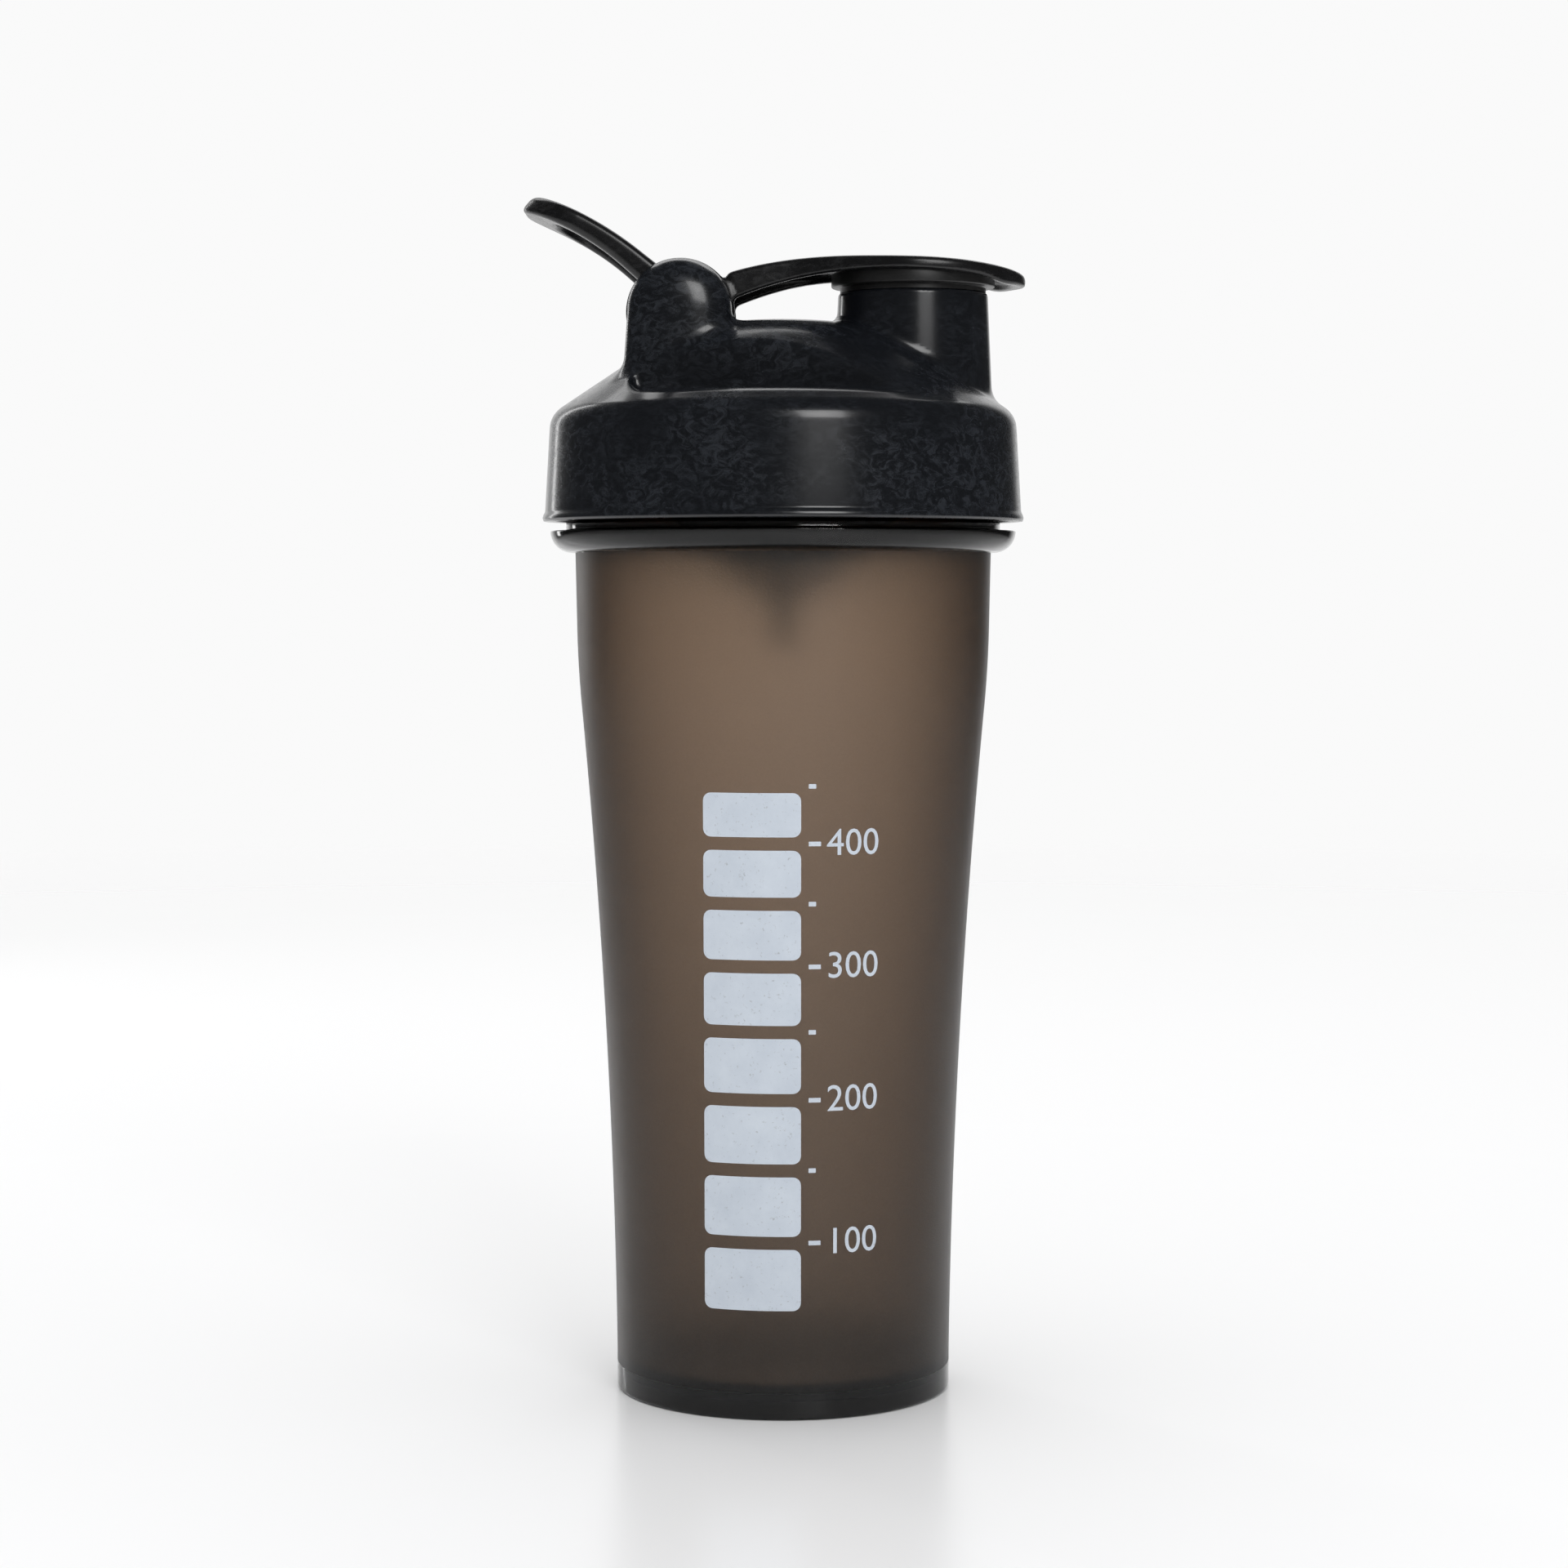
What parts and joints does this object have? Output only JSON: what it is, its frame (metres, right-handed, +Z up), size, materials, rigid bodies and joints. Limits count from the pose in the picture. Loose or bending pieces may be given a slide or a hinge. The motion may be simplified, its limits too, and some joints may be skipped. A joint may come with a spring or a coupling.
{
  "type": "protein shaker bottle",
  "caption": "Shaker bottle: a tapered translucent cup with a screw lid, pouring spout closed by a flip cap, swinging carry loop and hanging mixing grid.",
  "frame": {"origin": "centre of the base, on the surface that the bottle stands on", "axes": "+Z up along the cup's axis; +X towards the spout; -X towards the hinge and carry loop"},
  "size_m": [0.1008, 0.0978, 0.2426],
  "materials": {
    "smoke_cup": "frosted translucent smoke brown, clear glossy flange and neck",
    "gloss_lid": "high gloss black with fine scuffs",
    "seal_ring": "matte translucent grey silicone",
    "grid_plastic": "satin black",
    "cap_plastic": "semi-matte black with slight mould sheen",
    "plug_rubber": "matte black soft plastic"
  },
  "bodies": {
    "cup": {"cup": "smoke_cup"},
    "lid_seal": {"lid_seal": "seal_ring"},
    "lid": {"lid": "gloss_lid"},
    "mixing_grid": {"mixing_grid": "grid_plastic"},
    "flip_cap": {"flip_cap": "cap_plastic", "spout_plug": "plug_rubber"},
    "carry_loop": {"carry_loop": "cap_plastic"}
  },
  "joints": [
    {"name": "lid_lift", "type": "slide", "parent": "cup", "child": "lid_seal", "axis": [0, 0, 1], "range_m": [0, 0.0053]},
    {"name": "lid_turn", "type": "hinge", "parent": "lid_seal", "child": "lid", "pos_m": [0, 0, 0.1964], "axis": [0, 0, 1], "range_deg": [0, 450]},
    {"name": "grid_pull", "type": "slide", "parent": "lid", "child": "mixing_grid", "axis": [0, 0, -1], "range_m": [0, 0.008]},
    {"name": "cap_flip", "type": "hinge", "parent": "lid", "child": "flip_cap", "pos_m": [-0.0206, 0, 0.2192], "axis": [0, -1, 0], "range_deg": [0, 100]},
    {"name": "loop_swing", "type": "hinge", "parent": "lid", "child": "carry_loop", "pos_m": [-0.0206, 0, 0.2192], "axis": [0, -1, 0], "range_deg": [-5, 68]}
  ],
  "couplings": [
    {"joint": "lid_lift", "follows": "lid_turn", "m_per_rad": 0.00066845}
  ]
}
